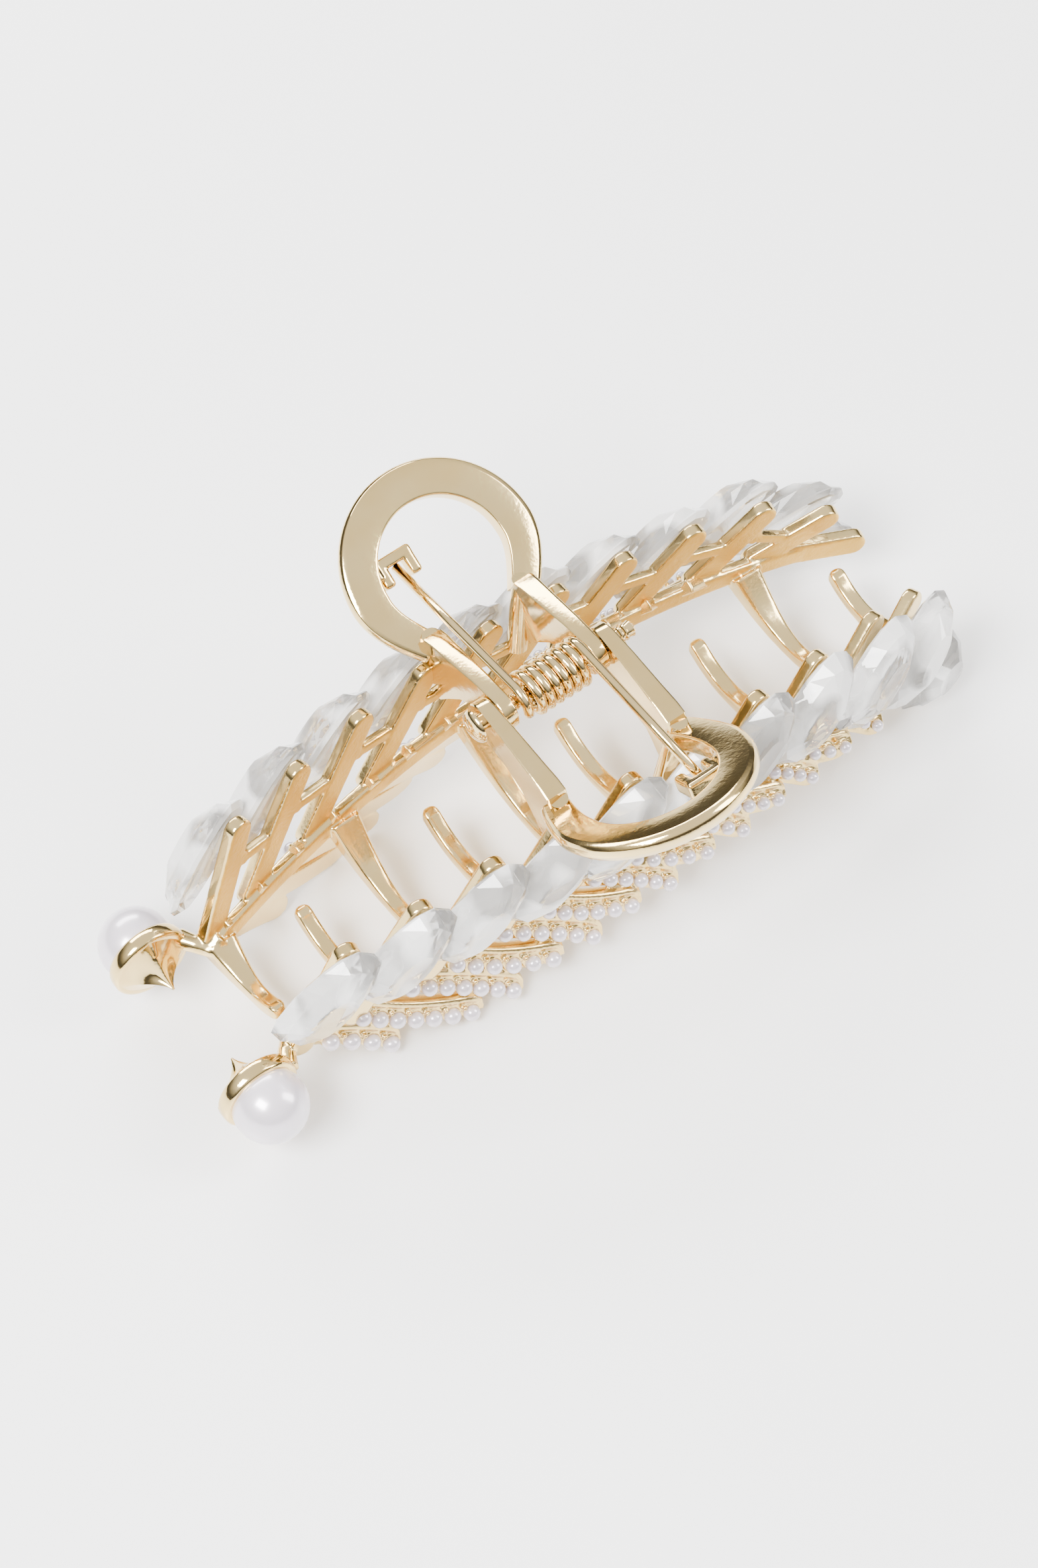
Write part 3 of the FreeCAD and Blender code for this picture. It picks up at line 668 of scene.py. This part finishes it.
def make_lugs(side):
    """Two lug bars with round ears, deep webs and feet on the jaw's top edge."""
    lug_x = FAR_LUG_X if side > 0 else NEAR_LUG_X
    parts = []
    for toward in (-1, 1):
        x = toward * lug_x
        outline = []
        for step in range(17):
            angle = math.radians(80 + 190 * step / 16)
            outline.append((EAR_R * math.cos(angle), EAR_R * math.sin(angle)))
        outline += [(1.9, -2.25), (4.0, -3.3), (6.4, -5.0), (8.6, -7.3), (10.0, -9.0), (12.3, -8.9),
                    (12.6, -4.0), (12.4, -1.6), (11.6, 0.2), (10.4, 0.62), (8.0, 1.02), (3.5, 1.85)]
        rings = []
        for across, shrink in ((-1, 0.16), (-0.86, 0.03), (-0.7, 0.0), (0.7, 0.0), (0.86, 0.03), (1, 0.16)):
            ring = []
            for w, z in outline:
                share = min(1.0, max(0.0, w / LUG_END_W))
                upper = min(1.0, max(0.0, (z + 4.5) / 3.0))
                half = LUG_THICK / 2 + (LUG_END_THICK - LUG_THICK) / 2 * share
                half *= 0.62 + 0.38 * (upper if w > 2.2 else 1.0)
                pull = Vector((0, w - 6, z + 3)).normalized() * shrink
                ring.append(Vector((x + across * half, w - pull.y, z - pull.z)))
            rings.append(ring)
        parts.append(skin("lug", rings))
        foot_x = x - toward * 1.4
        foot = [Vector((x, LUG_END_W + 0.4, LUG_TOP - 1.2)),
                Vector((x - toward * 0.5, LUG_END_W + 0.2, -4.0)),
                Vector((foot_x, SPINE_MID.y - 0.2, STRUT_FOOT_Z))]
        parts.append(tube("strut", foot, [1.0, 1.05, 1.15], 14))
    return join("lugs", parts)


def make_hook(side):
    """Staple on the loop's inner edge that holds a spring leg's end in its slot."""
    centre = side * HOOK_X
    half = HOOK_SLOT / 2 + HOOK_BAR
    low = LOOP_THICK / 2 - HOOK_DEPTH / 2 + 0.5
    high = low + HOOK_DEPTH
    parts = [block("bridge", (centre - half, HOOK_B, low), (centre + half, HOOK_B + HOOK_BAR, high), 0.35)]
    for end in (centre - half, centre + half - HOOK_BAR):
        parts.append(block("prong", (end, HOOK_B - HOOK_REACH + HOOK_BAR, low),
                           (end + HOOK_BAR, HOOK_B + HOOK_BAR, high), 0.4))
    ends = sorted((centre + side * (half - 0.4), side * (LOOP_R - LOOP_BAND + 0.5)))
    parts.append(block("stalk", (ends[0], HOOK_B - 0.8, low - 0.2),
                       (ends[1], HOOK_B + HOOK_BAR, high - 0.3), 0.3))
    hook = join("hook", parts)
    hook.data.transform(loop_matrix())
    return hook


def make_crystal():
    """Leaning navette with a flat back, a thin girdle, two rows of crown facets and a narrow table."""
    half_length = COMMON_CRYSTAL[0] / 2
    half_width = CRYSTAL_WIDTH / 2

    def outline(count, scale, height, turn):
        points = []
        for step in range(count):
            angle = 2 * math.pi * (step + turn) / count
            fullness = abs(math.sin(angle)) ** CRYSTAL_FULLNESS
            points.append(Vector((half_length * scale * math.cos(angle),
                                  math.copysign(fullness, math.sin(angle)) * half_width * scale, height)))
        return points

    rings = [outline(16, 0.90, 0.0, 0), outline(16, 1.0, 0.4, 0), outline(16, 0.985, 0.6, 0),
             outline(16, 0.80, CRYSTAL_HEIGHT * 0.58, 0.5), outline(16, 0.42, CRYSTAL_HEIGHT, 0)]
    crystal = skin("crystal", rings)
    bpy.ops.object.mode_set(mode="EDIT")
    bpy.ops.mesh.select_all(action="SELECT")
    bpy.ops.mesh.convex_hull()
    bpy.ops.object.mode_set(mode="OBJECT")
    crystal.data.transform(Matrix.Translation(Vector((0, half_width, 0))))
    crystal.data.transform(Matrix.Rotation(math.radians(CRYSTAL_TILT), 4, "X"))
    crystal.data.transform(Matrix.Translation(Vector((0, -half_width, 0))))
    return crystal


def place_crystal(master, number):
    """Copy of the common crystal on its setting, shortened where the setting is short."""
    shorter = END_CRYSTALS.get(number, COMMON_CRYSTAL)[0] / COMMON_CRYSTAL[0]
    return copy_of(master, crystal_frame(number) @ Matrix.Diagonal((shorter, 1, 1, 1)))


def make_pearl(segments, rings):
    """Pearl of unit radius that looks along z, with a flat ground on its back."""
    pearl = ball("pearl", Vector((0, 0, 0)), 1.0, segments, rings)
    bpy.ops.object.mode_set(mode="EDIT")
    bpy.ops.mesh.select_all(action="SELECT")
    bpy.ops.mesh.bisect(plane_co=(0, 0, -PEARL_SEAT), plane_no=(0, 0, 1), use_fill=True, clear_inner=True)
    bpy.ops.mesh.select_all(action="SELECT")
    bpy.ops.mesh.normals_make_consistent(inside=False)
    bpy.ops.object.mode_set(mode="OBJECT")
    return pearl


def make_pearl_row(master, number):
    leaf = leaf_frame(number)
    grow = Matrix.Scale(pearl_radius(number), 4)
    pearls = [copy_of(master, leaf @ Matrix.Translation(place) @ grow) for place in pearl_places(number)]
    return join("pearls", pearls)


# pin and spring ----------------------------------------------------------------------------------------

def make_pin():
    """Domed head, plain shank and a cut thread, turned from one outline."""
    outline = []
    for step in range(9):
        angle = math.pi / 2 * step / 8
        outline.append((PIN_HEAD_X - PIN_HEAD_H * math.cos(angle) - PIN_HEAD_POLE,
                        PIN_HEAD_R * math.sin(angle) + PIN_HEAD_POLE))
    outline += [(PIN_HEAD_X, PIN_HEAD_R), (PIN_HEAD_X, PIN_R)]
    x = THREAD_START_X
    while x + THREAD_PITCH < PIN_END_X - 0.2:
        outline += [(x, PIN_R), (x + THREAD_PITCH * 0.35, PIN_R),
                    (x + THREAD_PITCH * 0.55, PIN_R - THREAD_DEPTH),
                    (x + THREAD_PITCH * 0.7, PIN_R - THREAD_DEPTH)]
        x += THREAD_PITCH
    outline += [(PIN_END_X - 0.25, PIN_R - 0.02), (PIN_END_X, PIN_R - 0.3)]
    rings = []
    for x, radius in outline:
        rings.append(ring_at(local_frame(Vector((x, 0, 0)), Vector((1, 0, 0)), Vector((0, 0, 1))),
                             circle(radius, 28)))
    return skin("pin", rings)


def hook_point(side):
    return loop_matrix() @ Vector((side * HOOK_X, HOOK_B - 0.25, LOOP_THICK / 2 + 0.5))


def leg_angle(hook):
    """Angle round the pin at which a straight leg to the hook leaves the coil."""
    return math.atan2(hook.z, hook.y) + math.acos(COIL_R / math.hypot(hook.y, hook.z))


def round_pin(x, angle):
    return Vector((x, COIL_R * math.cos(angle), COIL_R * math.sin(angle)))


def make_far_leg():
    hook = hook_point(1)
    angle = leg_angle(hook)
    points = [round_pin(FAR_LEG_X, angle + math.pi / 2 * (1 - step / 12)) for step in range(13)]
    start = points[-1]
    points += [start.lerp(hook, share) for share in (0.03, 0.5, 1.0)]
    return tube("far_leg", points, [WIRE_R] * 15 + [WIRE_R * 0.97])


def make_spring():
    """Coil and the near jaw's leg, which leaves the coil at its tangent and runs to the near hook."""
    hook = hook_point(1)
    hook = Vector((-hook.x, -hook.y, hook.z))
    leave = math.pi - leg_angle(Vector((0, -hook.y, hook.z)))
    end_x = COIL_START_X + COIL_PITCH * COIL_TURNS
    steps = int(COIL_TURNS * 28)
    points = []
    for step in range(steps + 1):
        turned = 2 * math.pi * COIL_TURNS * (1 - step / steps)
        points.append(round_pin(end_x - COIL_PITCH * turned / (2 * math.pi), leave - turned))
    start = points[-1]
    points += [start.lerp(hook, share) for share in (0.04, 0.5, 1.0)]
    return tube("spring", points, [WIRE_R] * (len(points) - 1) + [WIRE_R * 0.97], 14)


# finishes ----------------------------------------------------------------------------------------------

def new_finish(name):
    finish = bpy.data.materials.new(name)
    finish.use_nodes = True
    nodes = finish.node_tree.nodes
    shader = nodes["Principled BSDF"]
    return finish, nodes, finish.node_tree.links, shader


def gold_finish(name, pale, deep, roughness, grain_side=0.0):
    """Gold plate: pale and polished, with a granular amber finish on faces that look inwards.

    grain_side is the sign of the Y direction in which the granular faces look, or 0 for none.
    """
    finish, nodes, links, shader = new_finish(name)
    shader.inputs["Metallic"].default_value = 1.0
    place = nodes.new("ShaderNodeTexCoord")
    cloud = nodes.new("ShaderNodeTexNoise")
    cloud.inputs["Scale"].default_value = 180.0
    cloud.inputs["Detail"].default_value = 3.0
    links.new(place.outputs["Object"], cloud.inputs["Vector"])
    ripple = nodes.new("ShaderNodeTexNoise")
    ripple.inputs["Scale"].default_value = 900.0
    ripple.inputs["Detail"].default_value = 2.0
    links.new(place.outputs["Object"], ripple.inputs["Vector"])
    grain = nodes.new("ShaderNodeTexNoise")
    grain.inputs["Scale"].default_value = 2600.0
    grain.inputs["Detail"].default_value = 2.0
    links.new(place.outputs["Object"], grain.inputs["Vector"])
    tint = nodes.new("ShaderNodeMix")
    tint.data_type = "RGBA"
    tint.inputs["A"].default_value = (*pale, 1)
    tint.inputs["B"].default_value = (*deep, 1)
    spread = nodes.new("ShaderNodeMapRange")
    spread.inputs["From Min"].default_value = 0.35
    spread.inputs["From Max"].default_value = 0.75
    spread.inputs["To Max"].default_value = 0.35
    links.new(cloud.outputs["Fac"], spread.inputs["Value"])
    bump = nodes.new("ShaderNodeBump")
    bump.inputs["Distance"].default_value = 0.0001
    if grain_side:
        split = nodes.new("ShaderNodeSeparateXYZ")
        links.new(place.outputs["Normal"], split.inputs["Vector"])
        inward = nodes.new("ShaderNodeMapRange")
        inward.inputs["From Min"].default_value = 0.62 * grain_side
        inward.inputs["From Max"].default_value = 0.88 * grain_side
        links.new(split.outputs["Y"], inward.inputs["Value"])
        mask = inward.outputs["Result"]
        add = nodes.new("ShaderNodeMath")
        add.operation = "MAXIMUM"
        links.new(spread.outputs["Result"], add.inputs[0])
        links.new(mask, add.inputs[1])
        links.new(add.outputs["Value"], tint.inputs["Factor"])
        rough = nodes.new("ShaderNodeMapRange")
        rough.inputs["To Min"].default_value = roughness
        rough.inputs["To Max"].default_value = GRAIN_ROUGHNESS
        links.new(mask, rough.inputs["Value"])
        links.new(rough.outputs["Result"], shader.inputs["Roughness"])
        strength = nodes.new("ShaderNodeMapRange")
        strength.inputs["To Min"].default_value = 0.10
        strength.inputs["To Max"].default_value = 0.9
        links.new(mask, strength.inputs["Value"])
        links.new(strength.outputs["Result"], bump.inputs["Strength"])
    else:
        links.new(spread.outputs["Result"], tint.inputs["Factor"])
        shader.inputs["Roughness"].default_value = roughness
        bump.inputs["Strength"].default_value = 0.10
    height = nodes.new("ShaderNodeMath")
    height.operation = "MULTIPLY_ADD"
    height.inputs[1].default_value = 0.7
    links.new(grain.outputs["Fac"], height.inputs[0])
    links.new(ripple.outputs["Fac"], height.inputs[2])
    links.new(height.outputs["Value"], bump.inputs["Height"])
    links.new(tint.outputs["Result"], shader.inputs["Base Color"])
    links.new(bump.outputs["Normal"], shader.inputs["Normal"])
    return finish


def crystal_finish():
    """Clear faceted resin that turns milky white in soft clouds."""
    finish, nodes, links, shader = new_finish("crystal_finish")
    shader.inputs["IOR"].default_value = 1.53
    shader.inputs["Roughness"].default_value = 0.03
    shader.inputs["Coat Weight"].default_value = 0.4
    place = nodes.new("ShaderNodeTexCoord")
    cloud = nodes.new("ShaderNodeTexNoise")
    cloud.inputs["Scale"].default_value = 190.0
    cloud.inputs["Detail"].default_value = 0.5
    links.new(place.outputs["Object"], cloud.inputs["Vector"])
    milk = nodes.new("ShaderNodeMapRange")
    milk.inputs["From Min"].default_value = 0.46
    milk.inputs["From Max"].default_value = 0.56
    milk.inputs["To Min"].default_value = 0.85
    milk.inputs["To Max"].default_value = 0.18
    links.new(cloud.outputs["Fac"], milk.inputs["Value"])
    links.new(milk.outputs["Result"], shader.inputs["Transmission Weight"])
    shader.inputs["Base Color"].default_value = (0.80, 0.79, 0.77, 1)
    return finish


def pearl_finish(name, colour):
    """Pearl lacquer: soft body colour under a glossy coat, with faint clouding."""
    finish, nodes, links, shader = new_finish(name)
    place = nodes.new("ShaderNodeTexCoord")
    cloud = nodes.new("ShaderNodeTexNoise")
    cloud.inputs["Scale"].default_value = 420.0
    cloud.inputs["Detail"].default_value = 2.0
    links.new(place.outputs["Object"], cloud.inputs["Vector"])
    tint = nodes.new("ShaderNodeMix")
    tint.data_type = "RGBA"
    tint.inputs["A"].default_value = (*colour, 1)
    tint.inputs["B"].default_value = (colour[0] * 0.97, colour[1] * 0.93, colour[2] * 0.97, 1)
    links.new(cloud.outputs["Fac"], tint.inputs["Factor"])
    links.new(tint.outputs["Result"], shader.inputs["Base Color"])
    shader.inputs["Roughness"].default_value = 0.26
    shader.inputs["Metallic"].default_value = 0.3
    shader.inputs["Coat Weight"].default_value = 0.9
    shader.inputs["Coat Roughness"].default_value = 0.08
    return finish


# studio ------------------------------------------------------------------------------------------------

def make_camera():
    data = bpy.data.cameras.new("camera")
    camera = bpy.data.objects.new("camera", data)
    bpy.context.scene.collection.objects.link(camera)
    data.lens = CAMERA_LENS
    data.sensor_width = 36.0
    data.clip_start = 0.01
    data.clip_end = 10.0
    azimuth = math.radians(CAMERA_AZIMUTH)
    elevation = math.radians(CAMERA_ELEVATION)
    away = Vector((-math.sin(azimuth) * math.cos(elevation), -math.cos(azimuth) * math.cos(elevation),
                   math.sin(elevation)))
    target = HINGE + CAMERA_TARGET
    camera.location = target + away * CAMERA_DISTANCE
    turn = (-away).to_track_quat("-Z", "Y").to_matrix().to_4x4()
    roll = Matrix.Rotation(math.radians(CAMERA_ROLL), 4, "Z")
    camera.rotation_euler = (turn @ roll).to_euler()
    bpy.context.scene.camera = camera


def make_light(name, place, size, power, colour=(1, 1, 1)):
    data = bpy.data.lights.new(name, "AREA")
    data.shape = "RECTANGLE"
    data.size = size[0]
    data.size_y = size[1]
    data.energy = power
    data.color = colour
    light = bpy.data.objects.new(name, data)
    bpy.context.scene.collection.objects.link(light)
    light.location = Vector(place)
    light.rotation_euler = (HINGE - Vector(place)).to_track_quat("-Z", "Y").to_euler()


def make_studio():
    bpy.ops.object.select_all(action="DESELECT")
    bpy.ops.mesh.primitive_plane_add(size=6.0)
    floor = bpy.context.object
    floor.name = "floor"
    finish, nodes, links, shader = new_finish("floor_finish")
    shader.inputs["Base Color"].default_value = (0.97, 0.97, 0.97, 1)
    shader.inputs["Roughness"].default_value = 0.28
    floor.data.materials.append(finish)
    make_light("key", (-0.40, -0.10, 0.55), (0.35, 0.25), 14.0)
    make_light("fill", (0.50, -0.35, 0.45), (0.25, 0.45), 6.0)
    make_light("back", (0.10, 0.65, 0.45), (0.7, 0.20), 8.0)
    world = bpy.data.worlds.new("studio")
    bpy.context.scene.world = world
    world.use_nodes = True
    nodes = world.node_tree.nodes
    links = world.node_tree.links
    sky = nodes.new("ShaderNodeTexCoord")
    height = nodes.new("ShaderNodeSeparateXYZ")
    links.new(sky.outputs["Generated"], height.inputs["Vector"])
    fade = nodes.new("ShaderNodeMapRange")
    fade.interpolation_type = "SMOOTHSTEP"
    fade.inputs["From Min"].default_value = 0.12
    fade.inputs["From Max"].default_value = 0.8
    fade.inputs["To Min"].default_value = 0.10
    fade.inputs["To Max"].default_value = 1.4
    links.new(height.outputs["Z"], fade.inputs["Value"])
    links.new(fade.outputs["Result"], nodes["Background"].inputs["Strength"])
    nodes["Background"].inputs["Color"].default_value = (1.0, 0.99, 0.98, 1)


# build -------------------------------------------------------------------------------------------------

def build_jaw(name, side):
    body = name + "_jaw"
    casting = name + "_claw_casting"
    pale = (0.86, 0.65, 0.30)
    deep = (0.72, 0.44, 0.09)
    polished = gold_finish(name + "_polished_gold", pale, deep, POLISHED_ROUGHNESS)
    granular = gold_finish(name + "_granular_gold", pale, deep, RIM_ROUGHNESS, -side)
    satin = gold_finish(name + "_satin_gold", pale, deep, SATIN_ROUGHNESS)
    settings = make_settings(side)
    cast(settings, SETTINGS_VOXEL, 3)
    leaves = make_leaves()
    cast(leaves, LEAVES_VOXEL, 2)
    hook = make_hook(side)
    cast(hook, HOOK_VOXEL, 6)
    cup = make_cup()
    shade(cup, 38)
    loop = make_loop(side)
    shade(loop, 35)
    lugs = make_lugs(side)
    shade(lugs, 35)
    pieces = {"settings": (settings, granular), "leaves": (leaves, satin), "spring_hook": (hook, polished),
              "pearl_cup": (cup, polished), "thumb_loop": (loop, polished), "lugs": (lugs, polished)}
    for part, (piece, finish) in pieces.items():
        piece.name = name + "_" + part
        settle(piece, side, body, finish)
        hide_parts(casting)
    navette = make_crystal()
    for number in range(1, FINGERS + 1):
        crystal = place_crystal(navette, number)
        node = "%s_crystal_%02d" % (name, number)
        crystal.name = node + "_cut"
        settle(crystal, side, body, CRYSTAL)
        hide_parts(node)
    discard(navette)
    seed_pearl = make_pearl(24, 16)
    for number in range(1, LEAVES + 1):
        row = make_pearl_row(seed_pearl, number)
        node = "%s_pearl_row_%02d" % (name, number)
        row.name = node + "_round"
        shade(row, 40)
        settle(row, side, body, SMALL_PEARL)
        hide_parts(node)
    discard(seed_pearl)
    pearl = make_pearl(64, 40)
    outward = Matrix.Rotation(-math.pi / 2, 4, "X")
    pearl.data.transform(Matrix.Translation(END_PEARL) @ outward @ Matrix.Scale(END_PEARL_R, 4))
    shade(pearl, 40)
    pearl.name = name + "_end_pearl_round"
    settle(pearl, side, body, END_PEARL_FINISH)
    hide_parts(name + "_end_pearl")


make_camera()
CRYSTAL = crystal_finish()
SMALL_PEARL = pearl_finish("small_pearl_finish", (0.76, 0.71, 0.75))
END_PEARL_FINISH = pearl_finish("end_pearl_finish", (0.74, 0.69, 0.73))
build_jaw("near", -1)
build_jaw("far", 1)
wire_gold = gold_finish("wire_gold", (0.88, 0.67, 0.33), (0.78, 0.54, 0.19), WIRE_ROUGHNESS)
spring = make_spring()
shade(spring)
spring.name = "torsion_spring_wire"
settle(spring, 1, "near_jaw", wire_gold)
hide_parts("torsion_spring")
far_leg = make_far_leg()
shade(far_leg)
far_leg.name = "torsion_spring_far_wire"
settle(far_leg, 1, "far_jaw", wire_gold)
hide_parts("torsion_spring_far_leg")
pin = make_pin()
shade(pin, 40)
pin.name = "hinge_pin_turned"
settle(pin, 1, "near_jaw", wire_gold)
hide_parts("hinge_pin")
make_studio()
